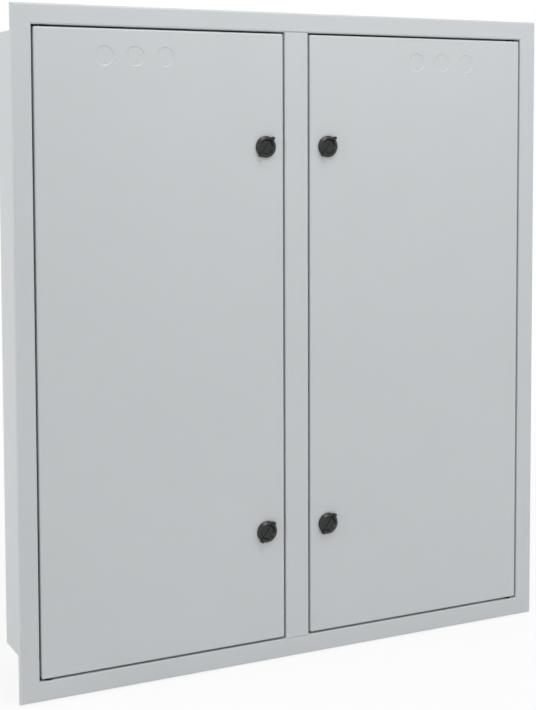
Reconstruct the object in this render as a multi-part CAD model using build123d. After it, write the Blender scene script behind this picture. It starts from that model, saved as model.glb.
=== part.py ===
from build123d import *
from math import hypot
import os

# A two-door distribution board that is let into a wall, in millimetres.
# It is drawn as seen from the front: x to the right, y up and z out of the wall. z is 0 on the rear
# face of the box, and x and y are 0 at the centre of its fixing holes. stand() then turns z up.

# Sheet steel
SHEET = 1.5
INNER_SHEET = 1.2
BEND_RADIUS = 1.0

# Fits between pieces
SLIP_FIT = 0.3
RUNNING_FIT = 0.08
SCREW_FIT = 0.2

# Length of the tool that cuts a hole, as so many times what it goes through
CUT = 4

# Frame in front of the wall
FRAME_WIDTH = 760.0
FRAME_HEIGHT = 850.0
FRAME_FACE = 25.0
FRAME_PROUD = 6.0
COLLAR_DEPTH = 38.0

# Box in the wall
BOX_DEPTH = 144.0
RIM_WIDTH = 15.0
FIXING_SPACING_X = 340.0
FIXING_SPACING_Y = 660.0
FIXING_RADIUS = 4.5

# Mullion between the doors, with a flange on each side that stops the doors
MULLION_WIDTH = 34.0
STOP_FLANGE = 13.0
STOP_GAP = 0.5

# Doors and their hidden corner pins
DOOR_GAP = 2.5
DOOR_DEPTH = 16.0
DOOR_LIP = 12.0
HINGE_INSET = 10.0
HINGE_SETBACK = 5.5
SWING_CLEARANCE = 2.0
PIN_RADIUS = 2.5
PIN_SHOULDER_RADIUS = 4.5
HINGE_BLOCK_WIDTH = 18.0
HINGE_BLOCK_LENGTH = 28.0
HINGE_BLOCK_ROUND = 1.5
STIFFENER_FROM_LOCK = 60.0
STIFFENER_END_GAP = 60.0
STIFFENER_CREST = 26.0
STIFFENER_FLANGE = 12.0
STIFFENER_HEIGHT = 10.0

# Half-sheared discs for indicator lamps, at the top of each door
LAMP_DISC_RADIUS = 11.25
LAMP_DISC_PITCH = 40.0
LAMP_DISCS = 3
LAMP_DISCS_FROM_HINGE = 129.0
LAMP_DISCS_FROM_TOP = 33.0
HALF_SHEAR = 0.7
SHEAR_ROLL = 1.2

# Quarter-turn locks
LOCK_FROM_FREE_EDGE = 26.0
LOCK_FROM_DOOR_END = 145.5
BARREL_RADIUS = 11.0
NUT_ACROSS_FLATS = 27.0
NUT_HEIGHT = 5.0
HEAD_RADIUS = 14.0
HEAD_FOOT = 1.2
SHAFT_RADIUS = 6.0
KNOB_HEIGHT = 3.5
KNOB_EDGE = 0.8
KNOB_BEVEL = 3.0
KNOB_RIM = 1.2
DISH_FLOOR = 1.1
DISH_SLOPE = 1.6
RIB_FROM_DISH = 1.7
RIB_WIDTH = 1.8
RIB_HEIGHT = 0.9
EAR_REACH = 2.2
EAR_WIDTH = 4.4
EAR_RISE = 2.0
EAR_ROUND = 0.9
KNOB_ANGLE = 52.0
CAM_THICKNESS = 2.5
CAM_CLEARANCE = 1.0
CAM_HUB_RADIUS = 10.0
CAM_TIP_RADIUS = 6.0
CAM_OVERLAP = 10.5
CAM_SQUARE = 8.0
CAM_SCREW_RADIUS = 2.4
CAM_SCREW_LENGTH = 10.0
CAM_SCREW_HEAD_RADIUS = 5.5
CAM_SCREW_HEAD_HEIGHT = 3.4

# Screws, and those that hold the frame's collar to the box
SCREW_HEAD_CHAMFER = 0.8
FRAME_SCREW_RADIUS = 1.9
FRAME_SCREW_HEAD_RADIUS = 4.2
FRAME_SCREW_HEAD_HEIGHT = 2.4
FRAME_SCREW_TIP = 2.0
FRAME_SCREW_SPACING_X = 400.0
FRAME_SCREW_SPACING_Y = 300.0

# Cable entry plates in the top and the bottom of the box
CABLE_SLOT_WIDTH = 520.0
CABLE_SLOT_DEPTH = 66.0
CABLE_SLOT_FROM_COLLAR = 16.0
CABLE_PLATE_BORDER = 12.0
CABLE_DISCS = 6
CABLE_DISC_PITCH = 85.0
CABLE_DISC_RADIUS = 20.0
PLATE_SCREW_RADIUS = 1.9
PLATE_SCREW_HEAD_RADIUS = 3.8
PLATE_SCREW_HEAD_HEIGHT = 2.2

# Device carrier in each half: uprights, rails and a slotted cover
UPRIGHT_FROM_COVER_EDGE = 28.1
UPRIGHT_WIDTH = 30.0
UPRIGHT_LIP = 10.0
UPRIGHT_END_GAP = 12.0
ROWS = 5
ROW_CLEARANCE = 5.5
RAIL_WIDTH = 35.0
RAIL_CHANNEL = 27.0
RAIL_HEIGHT = 7.5
RAIL_SHEET = 1.0
RAIL_SLOT_LENGTH = 15.0
RAIL_SLOT_WIDTH = 6.2
RAIL_SLOT_PITCH = 25.0
RAIL_SCREW_RADIUS = 2.0
RAIL_SCREW_LENGTH = 8.0
RAIL_SCREW_HEAD_RADIUS = 4.0
RAIL_SCREW_HEAD_HEIGHT = 2.5
COVER_SETBACK = 46.0
COVER_RETURN = 12.0
COVER_CLEARANCE = 2.0
COVER_SPLIT = 3.0
DEVICE_DEPTH = 45.0
MODULE_WIDTH = 18.0
SLOT_FROM_UPRIGHT = 12.0
SLOT_HEIGHT = 46.0
PILLAR_ACROSS_FLATS = 8.0
PILLAR_FROM_BAR = 29.0
PILLAR_STUD_RADIUS = 2.4
PILLAR_STUD_LENGTH = 6.0
COVER_SCREW_RADIUS = 2.0
COVER_SCREW_LENGTH = 12.0
COVER_SCREW_HEAD_RADIUS = 6.5
COVER_SCREW_HEAD_HEIGHT = 3.0

# Terminal bars at the top (neutral) and the bottom (earth) of each carrier
BAR_FROM_END = 34.2
BAR_OVERHANG = 10.0
BAR_WIDTH = 10.0
BAR_HEIGHT = 8.0
BAR_HOLES = 12
BAR_HOLE_PITCH = 20.0
BAR_HOLE_RADIUS = 2.6
SUPPORT_LENGTH = 14.0
SUPPORT_WALL = 5.0
SUPPORT_FLOOR = 8.0

# Places that follow from the sizes above
FRONT = BOX_DEPTH + FRAME_PROUD
OPENING_WIDTH = FRAME_WIDTH - 2 * FRAME_FACE
OPENING_HEIGHT = FRAME_HEIGHT - 2 * FRAME_FACE
RIM_SETBACK = HINGE_SETBACK + hypot(HINGE_INSET, DOOR_DEPTH - HINGE_SETBACK) + SWING_CLEARANCE
BOX_WIDTH = OPENING_WIDTH - 2 * SLIP_FIT
BOX_HEIGHT = OPENING_HEIGHT - 2 * SLIP_FIT
BOX_FRONT = FRONT - RIM_SETBACK
COLLAR_SCREW_Z = (BOX_FRONT + FRONT - COLLAR_DEPTH) / 2
DOOR_WIDTH = (OPENING_WIDTH - MULLION_WIDTH) / 2 - 2 * DOOR_GAP
DOOR_HEIGHT = OPENING_HEIGHT - 2 * DOOR_GAP
DOOR_CENTRE_X = (OPENING_WIDTH + MULLION_WIDTH) / 4
HINGE_X = OPENING_WIDTH / 2 - DOOR_GAP - HINGE_INSET
LOCK_X = MULLION_WIDTH / 2 + DOOR_GAP + LOCK_FROM_FREE_EDGE
LOCK_Y = DOOR_HEIGHT / 2 - LOCK_FROM_DOOR_END
KNOB_FOOT = HEAD_FOOT + SLIP_FIT
KNOB_TOP = KNOB_FOOT + KNOB_HEIGHT
KNOB_TOP_RADIUS = HEAD_RADIUS - KNOB_BEVEL
DISH_RADIUS = KNOB_TOP_RADIUS - KNOB_RIM
CAM_SETBACK = DOOR_DEPTH + STOP_GAP + SHEET + CAM_CLEARANCE
CAM_REACH = LOCK_X - MULLION_WIDTH / 2 - STOP_FLANGE + CAM_OVERLAP
CABLE_SLOT_Z = FRONT - COLLAR_DEPTH - CABLE_SLOT_FROM_COLLAR - CABLE_SLOT_DEPTH / 2
COVER_EDGE_X = BOX_WIDTH / 2 - RIM_WIDTH - COVER_CLEARANCE
COVER_WIDTH = COVER_EDGE_X - COVER_SPLIT / 2
COVER_HEIGHT = BOX_HEIGHT - 2 * RIM_WIDTH - 2 * COVER_CLEARANCE
SECTION_X = (COVER_EDGE_X + COVER_SPLIT / 2) / 2
UPRIGHT_SPACING = COVER_WIDTH - 2 * UPRIGHT_FROM_COVER_EDGE
RAIL_FRONT = FRONT - COVER_SETBACK - DEVICE_DEPTH
RAIL_BACK = RAIL_FRONT - RAIL_HEIGHT
RAIL_SLOT_ROOM = UPRIGHT_SPACING - 2 * RAIL_SCREW_HEAD_RADIUS - RAIL_SLOT_LENGTH
RAIL_SLOTS = 1 + int(RAIL_SLOT_ROOM / RAIL_SLOT_PITCH)
BAR_Y = BOX_HEIGHT / 2 - SHEET - BAR_FROM_END
BAR_LENGTH = UPRIGHT_SPACING + 2 * BAR_OVERHANG
PILLAR_Y = BAR_Y - PILLAR_FROM_BAR

# Rows spread evenly between the cover screws, each with as many modules as there is room for
MODULES = int((UPRIGHT_SPACING - 2 * SLOT_FROM_UPRIGHT) / MODULE_WIDTH)
SLOT_WIDTH = MODULES * MODULE_WIDTH
TOP_ROW_Y = PILLAR_Y - COVER_SCREW_HEAD_RADIUS - ROW_CLEARANCE - SLOT_HEIGHT / 2
ROW_PITCH = 2 * TOP_ROW_Y / (ROWS - 1)
ROW_YS = [(row - (ROWS - 1) / 2) * ROW_PITCH for row in reversed(range(ROWS))]

SIDES = {"left": -1, "right": 1}
ENDS = {"upper": 1, "lower": -1}


def folded_strip(points, sheet):
    """The section of a sheet folded along an open line, given its middle line."""
    return trace(FilletPolyline(*points, radius=BEND_RADIUS + sheet / 2), line_width=sheet)


def folds(block):
    """The edges of a block that a tray is folded or rounded along: its four corners, then its front."""
    behind, corners, front = block.edges().group_by(Axis.Z)
    return corners + front


def tray(width, height, depth, sheet):
    """A sheet with four walls folded back from it, its front face at z = 0."""
    top = (Align.CENTER, Align.CENTER, Align.MAX)
    outer = Box(width, height, depth, align=top)
    inner = Box(width - 2 * sheet, height - 2 * sheet, depth, align=top)
    outer = fillet(folds(outer), BEND_RADIUS + sheet)
    inner = fillet(folds(inner), BEND_RADIUS)
    return outer - Pos(0, 0, -sheet) * inner


def lipped_tray(width, height, depth, sheet, lip):
    """A tray whose walls end in a lip folded inwards."""
    top = (Align.CENTER, Align.CENTER, Align.MAX)
    outer = Box(width, height, depth, align=top)
    inner = Box(width - 2 * sheet, height - 2 * sheet, depth - 2 * sheet, align=top)
    mouth = Box(width - 2 * lip, height - 2 * lip, depth / 2, align=top)
    outer = fillet(outer.edges(), BEND_RADIUS + sheet)
    inner = fillet(inner.edges(), BEND_RADIUS)
    return outer - Pos(0, 0, -sheet) * inner - Pos(0, 0, -depth / 2) * mouth


def drill(radius, depth):
    """A cutter along z for a round hole through so much sheet or bar, near z = 0."""
    return Cylinder(radius, CUT * depth)


def screw(shank_radius, shank_length, head_radius, head_height):
    """A pan-head screw that points down z, with its head standing on z = 0."""
    shank = Cylinder(shank_radius, shank_length, align=(Align.CENTER, Align.CENTER, Align.MAX))
    head = Cylinder(head_radius, head_height, align=(Align.CENTER, Align.CENTER, Align.MIN))
    rim = head.faces().sort_by(Axis.Z)[-1].edges()
    return shank + chamfer(rim, SCREW_HEAD_CHAMFER)


def half_shear(plate, place, radius, sheet):
    """Push a disc of the plate part of the way through, so that it can be knocked out."""
    up = (Align.CENTER, Align.CENTER, Align.MIN)
    pocket = Pos(0, 0, -HALF_SHEAR) * Cone(radius, radius + SHEAR_ROLL, HALF_SHEAR, align=up)
    boss = Pos(0, 0, -sheet - HALF_SHEAR / 2) * Cylinder(radius - SCREW_FIT, HALF_SHEAR)
    return plate - place * pocket + place * boss


def frame_side(opening_across, opening_along):
    """The side of the frame to the right of an opening: flange, outer return and collar, mitred."""
    corner_x = opening_across / 2
    corner_y = opening_along / 2
    outer_x = corner_x + FRAME_FACE - SHEET / 2
    inner_x = corner_x + SHEET / 2
    section = folded_strip(
        [
            (outer_x, FRONT - FRAME_PROUD),
            (outer_x, FRONT - SHEET / 2),
            (inner_x, FRONT - SHEET / 2),
            (inner_x, FRONT - COLLAR_DEPTH),
        ],
        SHEET,
    )
    bar = extrude(Plane.XZ * section, corner_y + FRAME_FACE, both=True)
    mitre = Polyline(
        (corner_x - FRAME_FACE, corner_y - FRAME_FACE),
        (corner_x + 2 * FRAME_FACE, corner_y + 2 * FRAME_FACE),
        (corner_x + 2 * FRAME_FACE, -corner_y - 2 * FRAME_FACE),
        (corner_x - FRAME_FACE, FRAME_FACE - corner_y),
        close=True,
    )
    return bar & extrude(make_face(mitre), 2 * FRONT)


def front_frame():
    """Four mitred sides, welded into one frame, with holes for the hinge pins and the screws."""
    upright_side = frame_side(OPENING_WIDTH, OPENING_HEIGHT)
    level_side = Rot(0, 0, 90) * frame_side(OPENING_HEIGHT, OPENING_WIDTH)
    half = upright_side + level_side
    frame = half + Rot(0, 0, 180) * half
    for place in hinge_pin_places():
        frame -= place * drill(PIN_RADIUS + RUNNING_FIT, SHEET)
    for place in frame_screw_places():
        frame -= place * drill(FRAME_SCREW_RADIUS + SCREW_FIT, 2 * SHEET + SLIP_FIT)
    return frame


def hinge_pin_places():
    """Where each hinge pin's axis crosses the frame's collar, with z pointing out of the opening."""
    z = FRONT - HINGE_SETBACK
    y = OPENING_HEIGHT / 2
    tops = [Pos(side * HINGE_X, y, z) * Rot(-90, 0, 0) for side in SIDES.values()]
    bottoms = [Pos(side * HINGE_X, -y, z) * Rot(90, 0, 0) for side in SIDES.values()]
    return tops + bottoms


def frame_screw_places():
    """Where the frame screws' heads sit on the inside of the box, with z pointing inwards."""
    x = BOX_WIDTH / 2 - SHEET
    y = BOX_HEIGHT / 2 - SHEET
    places = []
    for along in (-FRAME_SCREW_SPACING_Y, 0, FRAME_SCREW_SPACING_Y):
        places.append(Pos(-x, along, COLLAR_SCREW_Z) * Rot(0, 90, 0))
        places.append(Pos(x, along, COLLAR_SCREW_Z) * Rot(0, -90, 0))
    for along in (-FRAME_SCREW_SPACING_X / 2, FRAME_SCREW_SPACING_X / 2):
        places.append(Pos(along, -y, COLLAR_SCREW_Z) * Rot(-90, 0, 0))
        places.append(Pos(along, y, COLLAR_SCREW_Z) * Rot(90, 0, 0))
    return places


def frame_screw():
    """One of the screws that hold the collar to the box."""
    length = 2 * SHEET + SLIP_FIT + FRAME_SCREW_TIP
    return screw(FRAME_SCREW_RADIUS, length, FRAME_SCREW_HEAD_RADIUS, FRAME_SCREW_HEAD_HEIGHT)


def back_box():
    """The trough in the wall, with a rim round its mouth and an opening for cables at each end."""
    box = Rot(0, 180, 0) * lipped_tray(BOX_WIDTH, BOX_HEIGHT, BOX_FRONT, SHEET, RIM_WIDTH)
    box -= Pos(0, 0, CABLE_SLOT_Z) * Box(CABLE_SLOT_WIDTH, CUT * BOX_HEIGHT, CABLE_SLOT_DEPTH)
    for place in GridLocations(FIXING_SPACING_X, FIXING_SPACING_Y, 2, 2):
        box -= place * drill(FIXING_RADIUS, SHEET)
    for place in frame_screw_places():
        box -= place * drill(FRAME_SCREW_RADIUS + SCREW_FIT, SHEET)
    for side in ENDS.values():
        for place in plate_screw_places(side):
            box -= place * drill(PLATE_SCREW_RADIUS + SCREW_FIT, SHEET + INNER_SHEET)
    return box


def cable_plate_place(side):
    """The inner face of a cable plate, with z pointing into the box and y towards the front."""
    y = BOX_HEIGHT / 2 - SHEET - INNER_SHEET
    return Pos(0, side * y, CABLE_SLOT_Z) * Rot(side * 90, 0, 0)


def plate_screw_places(side):
    """Screw heads on the inner face of a cable plate, with z pointing into the box."""
    spacing_x = CABLE_SLOT_WIDTH + CABLE_PLATE_BORDER
    spacing_z = CABLE_SLOT_DEPTH + CABLE_PLATE_BORDER
    grid = GridLocations(spacing_x, spacing_z, 2, 2)
    return [cable_plate_place(side) * place for place in grid]


def cable_plate(side):
    """A plate inside the box that closes a cable opening, with discs to knock out."""
    width = CABLE_SLOT_WIDTH + 2 * CABLE_PLATE_BORDER
    depth = CABLE_SLOT_DEPTH + 2 * CABLE_PLATE_BORDER
    top = (Align.CENTER, Align.CENTER, Align.MAX)
    plate = cable_plate_place(side) * Box(width, depth, INNER_SHEET, align=top)
    for place in GridLocations(CABLE_DISC_PITCH, 1, CABLE_DISCS, 1):
        plate = half_shear(plate, cable_plate_place(side) * place, CABLE_DISC_RADIUS, INNER_SHEET)
    for place in plate_screw_places(side):
        plate -= place * drill(PLATE_SCREW_RADIUS + SCREW_FIT, INNER_SHEET)
    return plate


def plate_screw():
    """One of the screws that hold a cable plate to the box."""
    length = SHEET + INNER_SHEET
    return screw(PLATE_SCREW_RADIUS, length, PLATE_SCREW_HEAD_RADIUS, PLATE_SCREW_HEAD_HEIGHT)


def centre_mullion():
    """A hat section between the doors, flush with the frame and welded to its collar."""
    web_x = MULLION_WIDTH / 2 - SHEET / 2
    flange_x = MULLION_WIDTH / 2 + STOP_FLANGE
    flange_z = FRONT - DOOR_DEPTH - STOP_GAP - SHEET / 2
    face_z = FRONT - SHEET / 2
    section = folded_strip(
        [
            (-flange_x, flange_z),
            (-web_x, flange_z),
            (-web_x, face_z),
            (web_x, face_z),
            (web_x, flange_z),
            (flange_x, flange_z),
        ],
        SHEET,
    )
    return extrude(Plane.XZ * section, OPENING_HEIGHT / 2, both=True)


def door(side):
    """A folded door with lock holes, hinge pin holes and discs to knock out for lamps."""
    leaf = lipped_tray(DOOR_WIDTH, DOOR_HEIGHT, DOOR_DEPTH, SHEET, DOOR_LIP)
    leaf = Pos(side * DOOR_CENTRE_X, 0, FRONT) * leaf
    for end in ENDS.values():
        lock_hole = drill(BARREL_RADIUS + SCREW_FIT, SHEET)
        leaf -= Pos(side * LOCK_X, end * LOCK_Y, FRONT) * lock_hole
        pin_hole = Rot(90, 0, 0) * drill(PIN_RADIUS + SCREW_FIT, SHEET)
        leaf -= Pos(side * HINGE_X, end * DOOR_HEIGHT / 2, FRONT - HINGE_SETBACK) * pin_hole
    discs_x = OPENING_WIDTH / 2 - DOOR_GAP - LAMP_DISCS_FROM_HINGE
    discs_y = DOOR_HEIGHT / 2 - LAMP_DISCS_FROM_TOP
    for place in GridLocations(LAMP_DISC_PITCH, 1, LAMP_DISCS, 1):
        spot = Pos(side * discs_x, discs_y, FRONT) * place
        leaf = half_shear(leaf, spot, LAMP_DISC_RADIUS, SHEET)
    return leaf


def door_stiffener(side):
    """A hat section welded upright to the inside of a door."""
    crest_x = STIFFENER_CREST / 2 - INNER_SHEET / 2
    foot_x = STIFFENER_CREST / 2 + STIFFENER_FLANGE
    foot_z = -INNER_SHEET / 2
    crest_z = INNER_SHEET / 2 - STIFFENER_HEIGHT
    section = folded_strip(
        [
            (-foot_x, foot_z),
            (-crest_x, foot_z),
            (-crest_x, crest_z),
            (crest_x, crest_z),
            (crest_x, foot_z),
            (foot_x, foot_z),
        ],
        INNER_SHEET,
    )
    half_length = DOOR_HEIGHT / 2 - STIFFENER_END_GAP
    x = LOCK_X + STIFFENER_FROM_LOCK
    return Pos(side * x, 0, FRONT - SHEET) * extrude(Plane.XZ * section, half_length, both=True)


def hinge_block(side, end):
    """The block in a door corner that carries the hinge pin."""
    depth = DOOR_DEPTH - 2 * SHEET
    y = DOOR_HEIGHT / 2 - SHEET - HINGE_BLOCK_LENGTH / 2
    block = Box(HINGE_BLOCK_WIDTH, HINGE_BLOCK_LENGTH, depth)
    block = Pos(0, 0, HINGE_SETBACK - DOOR_DEPTH / 2) * fillet(block.edges(), HINGE_BLOCK_ROUND)
    bore = Rot(90, 0, 0) * drill(PIN_RADIUS + RUNNING_FIT, HINGE_BLOCK_LENGTH)
    shift = HINGE_BLOCK_WIDTH / 2 + SHEET - HINGE_INSET
    block = Pos(-side * shift, 0, 0) * block - bore
    return Pos(side * HINGE_X, end * y, FRONT - HINGE_SETBACK) * block


def hinge_pin(place):
    """A pin from the door's hinge block into the frame's collar, with a shoulder in the gap."""
    inner_end = DOOR_GAP + SHEET + HINGE_BLOCK_LENGTH
    down = (Align.CENTER, Align.CENTER, Align.MAX)
    pin = Cylinder(PIN_RADIUS, SHEET + inner_end, align=down)
    shoulder = Cylinder(PIN_SHOULDER_RADIUS, DOOR_GAP - SLIP_FIT, align=down)
    return place * (Pos(0, 0, SHEET) * pin + Pos(0, 0, -SLIP_FIT) * shoulder)


def lock_housing():
    """The fixed part of a lock: a flange in front of the door, on a threaded barrel."""
    bore = SHAFT_RADIUS + RUNNING_FIT
    rear = SLIP_FIT - CAM_SETBACK
    section = Polyline(
        (bore, rear),
        (BARREL_RADIUS, rear),
        (BARREL_RADIUS, 0),
        (HEAD_RADIUS, 0),
        (HEAD_RADIUS, HEAD_FOOT),
        (bore, HEAD_FOOT),
        close=True,
    )
    return revolve(Plane.XZ * make_face(section), Axis.Z)


def lock_nut():
    """The hexagon nut that clamps a lock to the door from behind."""
    flats = RegularPolygon(NUT_ACROSS_FLATS / 2, 6, major_radius=False)
    return extrude(Pos(0, 0, -SHEET) * (flats - Circle(BARREL_RADIUS + RUNNING_FIT)), -NUT_HEIGHT)


def knob_cap():
    """The bevelled cap of a knob, dished in front, with a low rib across the dish."""
    dish_top = KNOB_FOOT + DISH_FLOOR
    dish_radius = DISH_RADIUS - DISH_SLOPE
    section = Polyline(
        (0, KNOB_FOOT),
        (HEAD_RADIUS, KNOB_FOOT),
        (HEAD_RADIUS, KNOB_FOOT + KNOB_EDGE),
        (KNOB_TOP_RADIUS, KNOB_TOP),
        (DISH_RADIUS, KNOB_TOP),
        (dish_radius, dish_top),
        (0, dish_top),
        close=True,
    )
    rib = extrude(SlotOverall(2 * (dish_radius - RIB_FROM_DISH), RIB_WIDTH), RIB_HEIGHT)
    return revolve(Plane.XZ * make_face(section), Axis.Z) + Pos(0, 0, dish_top) * rib


def knob_ears():
    """The two ears that stand out over the edge of a knob, for the fingers."""
    foot = KNOB_FOOT + KNOB_EDGE
    height = KNOB_TOP + EAR_RISE - foot
    ears = extrude(SlotOverall(2 * (HEAD_RADIUS + EAR_REACH), EAR_WIDTH), height)
    ears = fillet(ears.faces().sort_by(Axis.Z)[-1].edges(), EAR_ROUND)
    return Pos(0, 0, foot) * (ears - drill(DISH_RADIUS + KNOB_RIM / 2, height))


def lock_knob():
    """The turning part of a lock: a cap with ears, and a shaft with a square end."""
    up = (Align.CENTER, Align.CENTER, Align.MIN)
    down = (Align.CENTER, Align.CENTER, Align.MAX)
    cap = Rot(0, 0, KNOB_ANGLE) * (knob_cap() + knob_ears())
    shaft = Pos(0, 0, KNOB_FOOT) * Cylinder(SHAFT_RADIUS, KNOB_FOOT + CAM_SETBACK, align=down)
    tail = Pos(0, 0, -CAM_SETBACK) * Box(CAM_SQUARE, CAM_SQUARE, CAM_THICKNESS - SCREW_FIT, align=down)
    hole = Cylinder(CAM_SCREW_RADIUS + SCREW_FIT, CAM_SCREW_LENGTH + SLIP_FIT, align=up)
    return cap + shaft + tail - Pos(0, 0, -CAM_SETBACK - CAM_THICKNESS) * hole


def lock_cam(side):
    """The flat cam behind a lock, standing clear of the mullion until the knob is turned."""
    tip = Pos(0, CAM_REACH - CAM_TIP_RADIUS) * Circle(CAM_TIP_RADIUS)
    blade = make_hull(Circle(CAM_HUB_RADIUS).edges() + tip.edges())
    square = Rectangle(CAM_SQUARE + 2 * SCREW_FIT, CAM_SQUARE + 2 * SCREW_FIT)
    cam = extrude(blade - square, -CAM_THICKNESS)
    return Pos(0, 0, -CAM_SETBACK) * Rot(0, 0, 90 + 90 * side) * cam


def cam_screw():
    """The screw that holds the cam on the end of the knob's shaft."""
    head = screw(CAM_SCREW_RADIUS, CAM_SCREW_LENGTH, CAM_SCREW_HEAD_RADIUS, CAM_SCREW_HEAD_HEIGHT)
    return Pos(0, 0, -CAM_SETBACK - CAM_THICKNESS) * Rot(180, 0, 0) * head


def upright(x):
    """A folded channel on the back of the box that carries one end of each rail."""
    web_x = UPRIGHT_WIDTH / 2 - SHEET / 2
    lip_x = UPRIGHT_WIDTH / 2 - UPRIGHT_LIP
    back_z = SHEET + SHEET / 2
    web_z = RAIL_BACK - SHEET / 2
    section = folded_strip(
        [
            (-lip_x, back_z),
            (-web_x, back_z),
            (-web_x, web_z),
            (web_x, web_z),
            (web_x, back_z),
            (lip_x, back_z),
        ],
        SHEET,
    )
    half_length = BOX_HEIGHT / 2 - SHEET - UPRIGHT_END_GAP
    post = extrude(Plane.XZ * section, half_length, both=True)
    for y in ROW_YS:
        post -= Pos(0, y, RAIL_BACK) * drill(RAIL_SCREW_RADIUS + SCREW_FIT, SHEET)
    for y in (-PILLAR_Y, PILLAR_Y):
        post -= Pos(0, y, RAIL_BACK) * drill(PILLAR_STUD_RADIUS + SCREW_FIT, SHEET)
    return Pos(x, 0, 0) * post


def device_rail(x, y):
    """A hat-section rail with a row of slots, lying across two uprights, that devices clip on."""
    edge_y = RAIL_WIDTH / 2
    wall_y = RAIL_CHANNEL / 2 - RAIL_SHEET / 2
    front_z = RAIL_FRONT - RAIL_SHEET / 2
    web_z = RAIL_BACK + RAIL_SHEET / 2
    section = folded_strip(
        [
            (-edge_y, front_z),
            (-wall_y, front_z),
            (-wall_y, web_z),
            (wall_y, web_z),
            (wall_y, front_z),
            (edge_y, front_z),
        ],
        RAIL_SHEET,
    )
    rail = extrude(Plane.YZ * section, (UPRIGHT_SPACING + UPRIGHT_WIDTH) / 2, both=True)
    for place in GridLocations(UPRIGHT_SPACING, 1, 2, 1):
        rail -= Pos(0, 0, RAIL_BACK) * place * drill(RAIL_SCREW_RADIUS + SCREW_FIT, RAIL_SHEET)
    slot = extrude(SlotOverall(RAIL_SLOT_LENGTH, RAIL_SLOT_WIDTH), CUT * RAIL_SHEET, both=True)
    for place in GridLocations(RAIL_SLOT_PITCH, 1, RAIL_SLOTS, 1):
        rail -= Pos(0, 0, RAIL_BACK) * place * slot
    return Pos(x, y, 0) * rail


def upright_xs(section_x):
    """Where the two uprights of one half stand."""
    return (section_x - UPRIGHT_SPACING / 2, section_x + UPRIGHT_SPACING / 2)


def rail_screw():
    """The screw at one end of a rail."""
    return screw(RAIL_SCREW_RADIUS, RAIL_SCREW_LENGTH, RAIL_SCREW_HEAD_RADIUS, RAIL_SCREW_HEAD_HEIGHT)


def inner_cover(x):
    """The touch guard over one half, with a slot for the devices of each row."""
    cover = tray(COVER_WIDTH, COVER_HEIGHT, COVER_RETURN, INNER_SHEET)
    for y in ROW_YS:
        cover -= Pos(0, y, 0) * Box(SLOT_WIDTH, SLOT_HEIGHT, CUT * INNER_SHEET)
    for place in GridLocations(UPRIGHT_SPACING, 2 * PILLAR_Y, 2, 2):
        cover -= place * drill(COVER_SCREW_RADIUS + SCREW_FIT, INNER_SHEET)
    return Pos(x, 0, FRONT - COVER_SETBACK) * cover


def cover_pillar():
    """A hexagon pillar from an upright to the cover, with a stud at its foot."""
    length = FRONT - COVER_SETBACK - INNER_SHEET - RAIL_BACK
    down = (Align.CENTER, Align.CENTER, Align.MAX)
    body = extrude(RegularPolygon(PILLAR_ACROSS_FLATS / 2, 6, major_radius=False), length)
    stud = Cylinder(PILLAR_STUD_RADIUS, PILLAR_STUD_LENGTH, align=down)
    hole_depth = COVER_SCREW_LENGTH - INNER_SHEET + SLIP_FIT
    hole = Cylinder(COVER_SCREW_RADIUS + SCREW_FIT, hole_depth, align=down)
    return Pos(0, 0, RAIL_BACK) * (body + stud - Pos(0, 0, length) * hole)


def cover_screw():
    """A hand screw that holds the cover on a pillar."""
    place = Pos(0, 0, FRONT - COVER_SETBACK)
    head = (COVER_SCREW_HEAD_RADIUS, COVER_SCREW_HEAD_HEIGHT)
    return place * screw(COVER_SCREW_RADIUS, COVER_SCREW_LENGTH, *head)


def terminal_bar():
    """A brass bar with a row of cross holes for wires, resting in its two supports."""
    bar = Box(BAR_LENGTH, BAR_WIDTH, BAR_HEIGHT)
    for place in GridLocations(BAR_HOLE_PITCH, 1, BAR_HOLES, 1):
        bar -= place * Rot(90, 0, 0) * drill(BAR_HOLE_RADIUS, BAR_WIDTH)
    return Pos(0, 0, RAIL_BACK + SUPPORT_FLOOR + BAR_HEIGHT / 2) * bar


def bar_support():
    """A moulded saddle on an upright that insulates a terminal bar."""
    up = (Align.CENTER, Align.CENTER, Align.MIN)
    width = BAR_WIDTH + 2 * SUPPORT_WALL
    saddle = Box(SUPPORT_LENGTH, width, SUPPORT_FLOOR + BAR_HEIGHT / 2, align=up)
    saddle -= Pos(0, 0, SUPPORT_FLOOR) * Box(SUPPORT_LENGTH, BAR_WIDTH, BAR_HEIGHT, align=up)
    return Pos(0, 0, RAIL_BACK) * saddle


def stand(shape):
    """Turn a piece from the front view into the part's own frame, with z up and the wall behind."""
    return Plane.XZ.location * shape


def door_pieces(name, side):
    """The nodes of one door, with its hinge pins and its locks."""
    pieces = {
        f"{name}_door": [door(side)],
        f"{name}_door_stiffener": [door_stiffener(side)],
        f"{name}_hinge_blocks": [hinge_block(side, end) for end in ENDS.values()],
        f"{name}_hinge_pins": [hinge_pin(p) for p in hinge_pin_places() if p.position.X * side > 0],
        f"{name}_lock_nuts": [],
    }
    for end_name, end in ENDS.items():
        place = Pos(side * LOCK_X, end * LOCK_Y, FRONT)
        lock = f"{end_name}_{name}_lock"
        pieces[f"{name}_lock_nuts"].append(place * lock_nut())
        pieces[f"{lock}_housing"] = [place * lock_housing()]
        pieces[f"{lock}_knob"] = [place * lock_knob()]
        pieces[f"{lock}_cam"] = [place * lock_cam(side)]
        pieces[f"{lock}_cam_screw"] = [place * cam_screw()]
    return pieces


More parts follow.
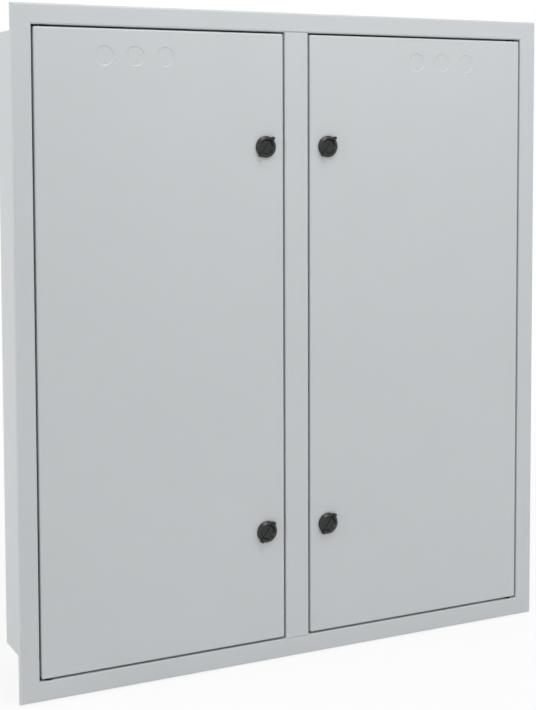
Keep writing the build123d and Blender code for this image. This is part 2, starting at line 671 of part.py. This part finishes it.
def carrier_pieces(name, side):
    """The nodes of one half's device carrier."""
    section_x = side * SECTION_X
    inner_x, outer_x = sorted(upright_xs(section_x), key=abs)
    pieces = {
        f"{name}_inner_upright": [upright(inner_x)],
        f"{name}_outer_upright": [upright(outer_x)],
        f"{name}_inner_cover": [inner_cover(section_x)],
        f"{name}_neutral_bar": [Pos(section_x, BAR_Y) * terminal_bar()],
        f"{name}_earth_bar": [Pos(section_x, -BAR_Y) * terminal_bar()],
    }
    for row, y in enumerate(ROW_YS, start=1):
        pieces[f"{name}_device_rail_{row}"] = [device_rail(section_x, y)]
    return pieces


def small_pieces():
    """Like pieces of the fixed part, each kind as one group of separate solids."""
    xs = [x for side in SIDES.values() for x in upright_xs(side * SECTION_X)]
    plate_places = [p for side in ENDS.values() for p in plate_screw_places(side)]
    return {
        "frame_screws": [place * frame_screw() for place in frame_screw_places()],
        "cable_plate_screws": [place * plate_screw() for place in plate_places],
        "rail_screws": [Pos(x, y, RAIL_BACK + RAIL_SHEET) * rail_screw() for x in xs for y in ROW_YS],
        "cover_pillars": [Pos(x, y) * cover_pillar() for x in xs for y in (-PILLAR_Y, PILLAR_Y)],
        "cover_screws": [Pos(x, y) * cover_screw() for x in xs for y in (-PILLAR_Y, PILLAR_Y)],
        "neutral_bar_supports": [Pos(x, BAR_Y) * bar_support() for x in xs],
        "earth_bar_supports": [Pos(x, -BAR_Y) * bar_support() for x in xs],
    }


pieces = {
    "back_box": [back_box()],
    "front_frame": [front_frame()],
    "centre_mullion": [centre_mullion()],
    "top_cable_plate": [cable_plate(1)],
    "bottom_cable_plate": [cable_plate(-1)],
}
pieces.update(small_pieces())
for side_name, side in SIDES.items():
    pieces.update(carrier_pieces(side_name, side))
    pieces.update(door_pieces(side_name, side))

os.makedirs("parts", exist_ok=True)
for name, shapes in pieces.items():
    solids = [stand(solid) for shape in shapes for solid in shape.solids()]
    export_step(solids[0] if len(solids) == 1 else Compound(solids), f"parts/{name}.step")
print(len(pieces), "nodes")
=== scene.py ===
from collections import namedtuple
from math import atan2, copysign, cos, pi, radians, remainder, sin

import bmesh
import bpy
from mathutils import Matrix, Vector


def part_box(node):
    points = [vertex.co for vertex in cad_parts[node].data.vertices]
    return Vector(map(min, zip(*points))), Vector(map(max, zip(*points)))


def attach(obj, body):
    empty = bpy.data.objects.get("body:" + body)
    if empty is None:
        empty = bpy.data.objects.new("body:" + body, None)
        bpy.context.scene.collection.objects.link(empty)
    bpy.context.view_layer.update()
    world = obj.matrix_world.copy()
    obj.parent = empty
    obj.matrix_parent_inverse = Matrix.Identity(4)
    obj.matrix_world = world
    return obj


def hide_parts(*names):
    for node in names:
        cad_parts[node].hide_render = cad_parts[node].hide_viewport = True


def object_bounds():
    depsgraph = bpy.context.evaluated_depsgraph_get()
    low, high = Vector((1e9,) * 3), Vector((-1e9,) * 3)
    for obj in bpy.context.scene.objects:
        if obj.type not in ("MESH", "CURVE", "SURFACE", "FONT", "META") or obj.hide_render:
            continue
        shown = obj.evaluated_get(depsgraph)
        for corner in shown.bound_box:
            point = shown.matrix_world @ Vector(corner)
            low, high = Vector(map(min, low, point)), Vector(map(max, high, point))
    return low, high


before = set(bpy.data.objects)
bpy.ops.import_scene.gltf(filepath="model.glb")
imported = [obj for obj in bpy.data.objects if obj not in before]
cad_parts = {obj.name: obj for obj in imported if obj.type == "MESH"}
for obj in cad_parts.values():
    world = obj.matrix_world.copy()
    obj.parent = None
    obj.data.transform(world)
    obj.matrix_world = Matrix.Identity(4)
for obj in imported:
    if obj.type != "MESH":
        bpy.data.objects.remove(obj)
cad_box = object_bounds()

# Back box and cable plates
# A trough of folded sheet steel with welded corners, plastered into the wall and screwed to the
# back of the niche. A plate inside each end closes its cable opening. All of it is powder coated in
# light grey, inside and out.
LIGHT_GREY = (203, 207, 209)
COAT_RELIEF = 0.00006
NOISE_LOW = 0.3
NOISE_HIGH = 0.7


def linear(colour):
    """A colour with parts from 0 to 255, as a screen shows it, in the values that a shader takes."""
    parts = [part / 255 for part in colour]
    return (*[part / 12.92 if part < 0.04045 else ((part + 0.055) / 1.055) ** 2.4 for part in parts], 1)


def add_node(tree, kind, inputs=None, **settings):
    """Add a node. Each of its inputs takes a plain value, or a link from another node's output."""
    node = tree.nodes.new(kind)
    for name, value in settings.items():
        setattr(node, name, value)
    for name, value in (inputs or {}).items():
        if isinstance(value, bpy.types.NodeSocket):
            tree.links.new(value, node.inputs[name])
        else:
            node.inputs[name].default_value = value
    return node


def calculate(tree, operation, *values):
    """The result of one step of arithmetic on plain values or other nodes' outputs."""
    return add_node(tree, "ShaderNodeMath", dict(enumerate(values)), operation=operation).outputs[0]


def stretch(tree, value, low, high):
    """Turn the middle range of a noise value into the range from low to high."""
    inputs = {"Value": value, "From Min": NOISE_LOW, "From Max": NOISE_HIGH, "To Min": low, "To Max": high}
    return add_node(tree, "ShaderNodeMapRange", inputs).outputs["Result"]


def finish_group(name, cloud_size, grain_size, tone, roughness):
    """A finish with soft clouds and a fine grain in its tone, its gloss and its height."""
    group = bpy.data.node_groups.new(name, "ShaderNodeTree")
    group.interface.new_socket("Tint", in_out="INPUT", socket_type="NodeSocketColor")
    group.interface.new_socket("Colour", in_out="OUTPUT", socket_type="NodeSocketColor")
    group.interface.new_socket("Roughness", in_out="OUTPUT", socket_type="NodeSocketFloat")
    group.interface.new_socket("Height", in_out="OUTPUT", socket_type="NodeSocketFloat")
    tint = group.nodes.new("NodeGroupInput").outputs["Tint"]
    place = group.nodes.new("ShaderNodeTexCoord").outputs["Object"]
    clouds = add_node(group, "ShaderNodeTexNoise", {"Vector": place, "Scale": 1 / cloud_size})
    grain = add_node(group, "ShaderNodeTexNoise", {"Vector": place, "Scale": 1 / grain_size})
    cloud_tone = stretch(group, clouds.outputs["Fac"], 1 - tone, 1 + tone)
    grain_tone = stretch(group, grain.outputs["Fac"], 1 - tone, 1 + tone)
    both = calculate(group, "MULTIPLY", cloud_tone, grain_tone)
    toned = add_node(group, "ShaderNodeHueSaturation", {"Color": tint, "Value": both})
    gloss = stretch(group, clouds.outputs["Fac"], *roughness)
    output = group.nodes.new("NodeGroupOutput")
    group.links.new(toned.outputs["Color"], output.inputs["Colour"])
    group.links.new(gloss, output.inputs["Roughness"])
    group.links.new(grain.outputs["Fac"], output.inputs["Height"])
    return group


def finished(name, group, tint, relief, metallic=0.0):
    """A material with one of the finishes, in a tint. Its relief is the depth of the grain in metres."""
    material = bpy.data.materials.new(name)
    material.use_nodes = True
    tree = material.node_tree
    shader = tree.nodes["Principled BSDF"]
    shader.inputs["Metallic"].default_value = metallic
    look = add_node(tree, "ShaderNodeGroup", node_tree=group)
    look.name = "finish"
    look.inputs["Tint"].default_value = linear(tint)
    bump = add_node(tree, "ShaderNodeBump", {"Height": look.outputs["Height"], "Distance": relief})
    tree.links.new(look.outputs["Colour"], shader.inputs["Base Color"])
    tree.links.new(look.outputs["Roughness"], shader.inputs["Roughness"])
    tree.links.new(bump.outputs["Normal"], shader.inputs["Normal"])
    return material


def dress(material, *names):
    """Give CAD nodes their material."""
    for name in names:
        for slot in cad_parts[name].material_slots:
            slot.material = material


powder_coat = finish_group(
    "powder coat", cloud_size=0.11, grain_size=0.0022, tone=0.008, roughness=(0.36, 0.46)
)
grey_paint = finished("grey powder coat", powder_coat, LIGHT_GREY, relief=COAT_RELIEF)
dress(grey_paint, "back_box", "top_cable_plate", "bottom_cable_plate")

# Front frame
# Four lengths of folded sheet, mitred at the corners, welded and ground flush before coating.
# It covers the edge of the niche, and its collar is screwed to the box.
MITRE_HALF_WIDTH = 0.0006
MITRE_SHADE = 0.97


def mitre_mask(tree):
    """1 on the four weld lines of the frame's corners and 0 elsewhere."""
    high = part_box("front_frame")[1]
    place = tree.nodes.new("ShaderNodeTexCoord").outputs["Object"]
    parts = add_node(tree, "ShaderNodeSeparateXYZ", {"Vector": place})
    across = calculate(tree, "ABSOLUTE", parts.outputs["X"])
    along = calculate(tree, "ABSOLUTE", parts.outputs["Z"])
    slope = calculate(tree, "SUBTRACT", across, along)
    return calculate(tree, "COMPARE", slope, high.x - high.z, MITRE_HALF_WIDTH)


frame_paint = finished("grey powder coat on welded corners", powder_coat, LIGHT_GREY, relief=COAT_RELIEF)
tree = frame_paint.node_tree
seam = mitre_mask(tree)
shade = add_node(tree, "ShaderNodeMapRange", {"Value": seam, "To Min": 1.0, "To Max": MITRE_SHADE})
shaded = add_node(
    tree,
    "ShaderNodeHueSaturation",
    {"Color": tree.nodes["finish"].outputs["Colour"], "Value": shade.outputs["Result"]},
)
tree.links.new(shaded.outputs["Color"], tree.nodes["Principled BSDF"].inputs["Base Color"])
dress(frame_paint, "front_frame")

# Mullion
# A hat section folded from sheet, flush with the frame and welded to its collar at both ends. It is
# coated with the frame, and its flanges stand behind the edges of the doors.
dress(grey_paint, "centre_mullion")

# Uprights and device rails
# Roll-formed from galvanised strip, whose zinc has set in small crystals. The uprights are welded
# to the back of the box and carry five slotted rails in each half.
GALVANISED = (178, 182, 185)
SIDES = ("left", "right")
ROWS = 5
galvanised_coat = finish_group(
    "galvanised strip", cloud_size=0.012, grain_size=0.0012, tone=0.035, roughness=(0.30, 0.42)
)
galvanised_steel = finished("galvanised steel", galvanised_coat, GALVANISED, relief=0.00002, metallic=1.0)
for side in SIDES:
    dress(galvanised_steel, f"{side}_inner_upright", f"{side}_outer_upright")
    dress(galvanised_steel, *[f"{side}_device_rail_{row}" for row in range(1, ROWS + 1)])

# Plated screws and pillars
# Cold-headed steel screws with a cross recess, and turned hexagon pillars, all bright zinc plated.
# The screws hold the collar and the cable plates to the box and the rails to the uprights, and the
# pillars stand on the uprights and carry the inner covers.
ZINC = (190, 190, 184)
SHANK_SIDES = 16
HEAD_SIDES = 36
HEAD_ROUND = 0.0007
ROUND_STEPS = 3
RECESS_REACH = 0.62
RECESS_WIDTH = 0.26
RECESS_DEPTH = 0.55
RECESS_TAPER = 0.8
TOUCH = 0.000001
FORWARD = Vector((0, -1, 0))
Screw = namedtuple("Screw", "shank_radius shank_length head_radius head_height")
FRAME_SCREW = Screw(0.0019, 0.0053, 0.0042, 0.0024)
PLATE_SCREW = Screw(0.0019, 0.0027, 0.0038, 0.0022)
RAIL_SCREW = Screw(0.0020, 0.0080, 0.0040, 0.0025)


def only(kind, parts):
    """The parts of one kind in the output of a mesh operator."""
    return [part for part in parts if isinstance(part, kind)]


def add_bar(bm, sides, radius, low, high):
    """Add a round bar that stands between two heights."""
    bmesh.ops.create_cone(
        bm,
        cap_ends=True,
        segments=sides,
        radius1=radius,
        radius2=radius,
        depth=high - low,
        matrix=Matrix.Translation((0, 0, (low + high) / 2)),
    )


def top_face(bm):
    """The highest face of a shape."""
    return max(bm.faces, key=lambda face: face.calc_center_median().z)


def make_screw(screw, grooves):
    """A screw that points down, with the underside of its head at z = 0."""
    bm = bmesh.new()
    add_bar(bm, SHANK_SIDES, screw.shank_radius, -screw.shank_length, 0)
    add_bar(bm, HEAD_SIDES, screw.head_radius, 0, screw.head_height)
    bmesh.ops.bevel(
        bm,
        geom=top_face(bm).edges[:],
        offset=HEAD_ROUND,
        segments=ROUND_STEPS,
        profile=0.5,
        affect="EDGES",
        material=-1,
    )
    sink_grooves(bm, screw, grooves)
    return bm


def sink_grooves(bm, screw, grooves):
    """Sink one groove, or a cross of two, into the top of a screw's head."""
    half = RECESS_WIDTH * screw.head_radius / 2
    top = top_face(bm)
    margin = (1 - RECESS_REACH) * screw.head_radius - HEAD_ROUND
    bmesh.ops.inset_region(bm, faces=[top], thickness=margin)
    inner = [top]
    axes = [Vector((1, 0, 0)), Vector((0, 1, 0))][:grooves]
    for axis in axes:
        for side in (-half, half):
            around = {part for face in inner for part in (*face.verts, *face.edges)}
            cut = bmesh.ops.bisect_plane(bm, geom=[*inner, *around], plane_co=side * axis, plane_no=axis)
            inner = only(bmesh.types.BMFace, cut["geom"])
    middles = {face: face.calc_center_median() for face in inner}
    sunk = [face for face in inner if any(abs(middles[face].dot(axis)) < half for axis in axes)]
    lowered = only(bmesh.types.BMVert, bmesh.ops.extrude_face_region(bm, geom=sunk)["geom"])
    bmesh.ops.delete(bm, geom=sunk, context="FACES")
    bmesh.ops.translate(bm, verts=lowered, vec=(0, 0, -RECESS_DEPTH * screw.head_height))
    bmesh.ops.scale(bm, verts=lowered, vec=(RECESS_TAPER, RECESS_TAPER, 1))


def solid_boxes(name):
    """The lowest and the highest corner of each separate solid in a CAD node."""
    bm = bmesh.new()
    bm.from_mesh(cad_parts[name].data)
    bmesh.ops.remove_doubles(bm, verts=bm.verts, dist=TOUCH)
    boxes = []
    seen = set()
    for first in bm.verts:
        solid = [] if first in seen else [first]
        seen.add(first)
        for vert in solid:
            others = [edge.other_vert(vert) for edge in vert.link_edges]
            others = [other for other in others if other not in seen]
            seen.update(others)
            solid.extend(others)
        if solid:
            corners = [[pick(vert.co[axis] for vert in solid) for axis in range(3)] for pick in (min, max)]
            boxes.append([Vector(corner) for corner in corners])
    bm.free()
    return boxes


def seats(name, screw, way=None):
    """Where a node's screws sit. Their heads look the given way, or else into the box."""
    places = []
    for low, high in solid_boxes(name):
        middle = (low + high) / 2
        size = high - low
        look = way
        if look is None:
            axis = max((0, 2), key=lambda side: abs(size[side] - 2 * screw.head_radius))
            look = Vector((0, 0, 0))
            look[axis] = -copysign(1, middle[axis])
        stand = middle + (abs(size.dot(look)) / 2 - screw.head_height) * look
        places.append(Matrix.Translation(stand) @ look.to_track_quat("Z", "Y").to_matrix().to_4x4())
    return places


def set_out(name, bm, places, material, body, node):
    """Make one piece of copies of a shape, in the stead of a CAD node."""
    shape = [*bm.verts, *bm.edges, *bm.faces]
    for place in places:
        copy = bmesh.ops.duplicate(bm, geom=shape)["geom"]
        bmesh.ops.transform(bm, matrix=place, verts=only(bmesh.types.BMVert, copy))
    bmesh.ops.delete(bm, geom=only(bmesh.types.BMVert, shape), context="VERTS")
    bmesh.ops.recalc_face_normals(bm, faces=bm.faces)
    mesh = bpy.data.meshes.new(name)
    bm.to_mesh(mesh)
    bm.free()
    mesh.materials.append(material)
    piece = bpy.data.objects.new(name, mesh)
    bpy.context.scene.collection.objects.link(piece)
    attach(piece, body)
    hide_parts(node)


zinc_plating = finish_group(
    "zinc plating", cloud_size=0.006, grain_size=0.0004, tone=0.03, roughness=(0.26, 0.36)
)
plated_steel = finished("zinc plated steel", zinc_plating, ZINC, relief=0.00001, metallic=1.0)
dress(plated_steel, "cover_pillars")
for node, screw, way in (
    ("frame_screws", FRAME_SCREW, None),
    ("cable_plate_screws", PLATE_SCREW, None),
    ("rail_screws", RAIL_SCREW, FORWARD),
):
    shape = make_screw(screw, grooves=2)
    places = seats(node, screw, way)
    set_out(f"plated_{node}", shape, places, plated_steel, "board", node)

# Terminal bars
# Drawn brass bars with cross holes for the wires, clipped into moulded supports on the uprights:
# blue ones for neutral and green ones for earth.
BRASS = (196, 160, 92)
NEUTRAL_BLUE = (42, 84, 148)
EARTH_GREEN = (52, 122, 62)
drawn_brass = finish_group(
    "drawn brass", cloud_size=0.02, grain_size=0.0008, tone=0.03, roughness=(0.24, 0.34)
)
moulded = finish_group(
    "moulded plastic", cloud_size=0.02, grain_size=0.0006, tone=0.03, roughness=(0.26, 0.36)
)
brass = finished("brass", drawn_brass, BRASS, relief=0.00001, metallic=1.0)
blue_plastic = finished("blue plastic", moulded, NEUTRAL_BLUE, relief=0.00002)
green_plastic = finished("green plastic", moulded, EARTH_GREEN, relief=0.00002)
for side in SIDES:
    dress(brass, f"{side}_neutral_bar", f"{side}_earth_bar")
dress(blue_plastic, "neutral_bar_supports")
dress(green_plastic, "earth_bar_supports")

# Inner covers
# Trays folded from thinner sheet with the same coat, one on the pillars of each half. A slot for the
# devices of each row leaves their fronts free and keeps fingers off the wires.
for side in SIDES:
    dress(grey_paint, f"{side}_inner_cover")

# Cover screws
# Black nylon hand screws with a fluted rim and a slot, moulded over a threaded stud. One at each
# corner of a cover goes into a pillar.
BLACK = (18, 19, 20)
COVER_SCREW = Screw(0.0020, 0.0120, 0.0065, 0.0030)
FLUTES = 12
FLUTE_SHARE = 0.90


def flute_rim(bm, screw):
    """Pull evenly spaced upright edges of a screw's head in towards its axis."""
    step = 2 * pi / FLUTES
    half_side = pi / HEAD_SIDES
    rim = [vert for vert in bm.verts if vert.co.xy.length > screw.head_radius - HEAD_ROUND - TOUCH]
    pulled = [vert for vert in rim if abs(remainder(atan2(vert.co.y, vert.co.x), step)) < half_side]
    bmesh.ops.scale(bm, verts=pulled, vec=(FLUTE_SHARE, FLUTE_SHARE, 1))


black_plastic = finished("black nylon", moulded, BLACK, relief=0.00003)
shape = make_screw(COVER_SCREW, grooves=1)
flute_rim(shape, COVER_SCREW)
places = seats("cover_screws", COVER_SCREW, FORWARD)
set_out("fluted_cover_screws", shape, places, black_plastic, "board", "cover_screws")

# Doors
# Trays of folded sheet with welded corners and the same coat, each with a hat section welded upright
# inside to stiffen it. Three discs near the top are sheared half through, to be knocked out for lamps.
for side in SIDES:
    dress(grey_paint, f"{side}_door", f"{side}_door_stiffener")

# Hinges
# Each corner of a door's outer edge has a nylon block in its fold, with a black zinc plated pin that
# turns in the collar of the frame.
BLACK_ZINC = (46, 46, 48)
blackened_steel = finished(
    "black zinc plated steel", zinc_plating, BLACK_ZINC, relief=0.00001, metallic=1.0
)
for side in SIDES:
    dress(black_plastic, f"{side}_hinge_blocks")
    dress(blackened_steel, f"{side}_hinge_pins")

# Locks
# A flanged barrel and a dished knob with two ears, both of black nylon. A plated nut clamps the
# barrel to the door, and a cross-head screw holds the galvanised cam on the knob's square.
CAM_SCREW = Screw(0.0024, 0.0100, 0.0055, 0.0034)
BACKWARD = Vector((0, 1, 0))
for side in SIDES:
    dress(plated_steel, f"{side}_lock_nuts")
    for end in ("upper", "lower"):
        lock = f"{end}_{side}_lock"
        dress(black_plastic, f"{lock}_housing", f"{lock}_knob")
        dress(galvanised_steel, f"{lock}_cam")
        node = f"{lock}_cam_screw"
        shape = make_screw(CAM_SCREW, grooves=2)
        places = seats(node, CAM_SCREW, BACKWARD)
        set_out(f"plated_{node}", shape, places, plated_steel, lock, node)

# Floor and background
# A white studio floor just below the board, under a white background. The floor takes a faint
# shadow near the board, fades into the background and can be seen through from below.
scene = bpy.context.scene
FLOOR_WHITE = (250, 250, 250)
FLOOR_ROUGHNESS = 0.9
FLOOR_GAP = 0.002
FLOOR_SIZE = 30.0
FLOOR_GLOW = 0.85
FADE_START = 0.8
FADE_END = 2.4
AMBIENT = 0.39
WHITE_LIGHT = (1, 1, 1, 1)


def in_sight(tree):
    """1 for what the camera sees, straight on or by way of gloss or glass, and 0 for light on the board."""
    rays = tree.nodes.new("ShaderNodeLightPath").outputs
    direct_or_gloss = calculate(tree, "MAXIMUM", rays["Is Camera Ray"], rays["Is Glossy Ray"])
    return calculate(tree, "MAXIMUM", direct_or_gloss, rays["Is Transmission Ray"])


mesh = bpy.data.meshes.new("floor")
bm = bmesh.new()
floor_place = Matrix.Translation((0, 0, cad_box[0].z - FLOOR_GAP))
bmesh.ops.create_grid(bm, x_segments=1, y_segments=1, size=FLOOR_SIZE, matrix=floor_place)
bm.to_mesh(mesh)
bm.free()
floor = bpy.data.objects.new("floor", mesh)
scene.collection.objects.link(floor)

floor_paint = bpy.data.materials.new("white floor")
floor_paint.use_nodes = True
tree = floor_paint.node_tree
shader = tree.nodes["Principled BSDF"]
shader.inputs["Base Color"].default_value = linear(FLOOR_WHITE)
shader.inputs["Roughness"].default_value = FLOOR_ROUGHNESS
shader.inputs["Specular IOR Level"].default_value = 0.0
place = tree.nodes.new("ShaderNodeTexCoord").outputs["Object"]
distance = add_node(tree, "ShaderNodeVectorMath", {0: place}, operation="LENGTH").outputs["Value"]
ramp = {"From Min": FADE_START, "From Max": FADE_END, "To Min": FLOOR_GLOW, "To Max": 1.0}
fade = add_node(
    tree, "ShaderNodeMapRange", {"Value": distance, **ramp}, interpolation_type="SMOOTHSTEP"
).outputs["Result"]
share = calculate(tree, "MULTIPLY", in_sight(tree), fade)
glow = add_node(tree, "ShaderNodeEmission", {"Color": WHITE_LIGHT, "Strength": 1.0})
mixed = add_node(tree, "ShaderNodeMixShader", {0: share, 1: shader.outputs[0], 2: glow.outputs[0]})
below = tree.nodes.new("ShaderNodeNewGeometry").outputs["Backfacing"]
clear = tree.nodes.new("ShaderNodeBsdfTransparent")
sided = add_node(tree, "ShaderNodeMixShader", {0: below, 1: mixed.outputs[0], 2: clear.outputs[0]})
tree.links.new(sided.outputs[0], tree.nodes["Material Output"].inputs["Surface"])
mesh.materials.append(floor_paint)

world = bpy.data.worlds.new("white studio")
scene.world = world
world.use_nodes = True
tree = world.node_tree
level = add_node(tree, "ShaderNodeMapRange", {"Value": in_sight(tree), "To Min": AMBIENT, "To Max": 1.0})
background = tree.nodes["Background"]
background.inputs["Color"].default_value = WHITE_LIGHT
tree.links.new(level.outputs["Result"], background.inputs["Strength"])

# Lamps
# A round panel above the board, one on the left that grazes it and lights the side of the box, one
# farther off on the left that brings out the locks, one in front on the right, and one behind. Only
# the first and the third leave highlights.


def add_lamp(name, place, energy, size, shines):
    """A round panel that faces the middle of the board. One that doesn't shine leaves no highlights."""
    data = bpy.data.lights.new(name, "AREA")
    data.shape = "DISK"
    data.energy = energy
    data.size = size
    lamp = bpy.data.objects.new(name, data)
    facing = (Vector((0, cad_box[0].y, 0)) - Vector(place)).to_track_quat("-Z", "Y")
    lamp.matrix_world = Matrix.Translation(place) @ facing.to_matrix().to_4x4()
    lamp.visible_glossy = shines
    scene.collection.objects.link(lamp)


add_lamp("top panel", (0, -0.9, 1.5), energy=11.3, size=1.0, shines=True)
add_lamp("side panel", (-2.2, 0.25, 1.2), energy=14.0, size=1.5, shines=False)
add_lamp("left panel", (-4.5, -1.5, 1.6), energy=30.0, size=1.2, shines=True)
add_lamp("right panel", (2.0, -2.0, 1.0), energy=12.2, size=1.5, shines=False)
add_lamp("rear panel", (1.6, 1.8, 1.2), energy=16.0, size=1.5, shines=False)

# Camera
# It stands to the left of the board and a little below its top, and looks slightly down. The lens is
# shifted, so that it tilts less and upright edges stay nearly upright.
CAMERA_PLACE = (-0.8531, -1.7942, 0.2656)
YAW = radians(26.249)
PITCH = radians(3.667)
ROLL = radians(-0.187)
FOCAL_LENGTH = 71.90
LENS_SHIFT = -0.18

forward = Vector((sin(YAW) * cos(PITCH), cos(YAW) * cos(PITCH), -sin(PITCH)))
level_right = Vector((cos(YAW), -sin(YAW), 0))
level_up = level_right.cross(forward)
right = cos(ROLL) * level_right + sin(ROLL) * level_up
up = cos(ROLL) * level_up - sin(ROLL) * level_right
turn = Matrix((right, up, -forward)).transposed()
lens = bpy.data.cameras.new("camera")
lens.lens = FOCAL_LENGTH
lens.shift_y = LENS_SHIFT
camera = bpy.data.objects.new("camera", lens)
camera.matrix_world = Matrix.Translation(CAMERA_PLACE) @ turn.to_4x4()
scene.collection.objects.link(camera)
scene.camera = camera
scene.view_settings.view_transform = "Standard"
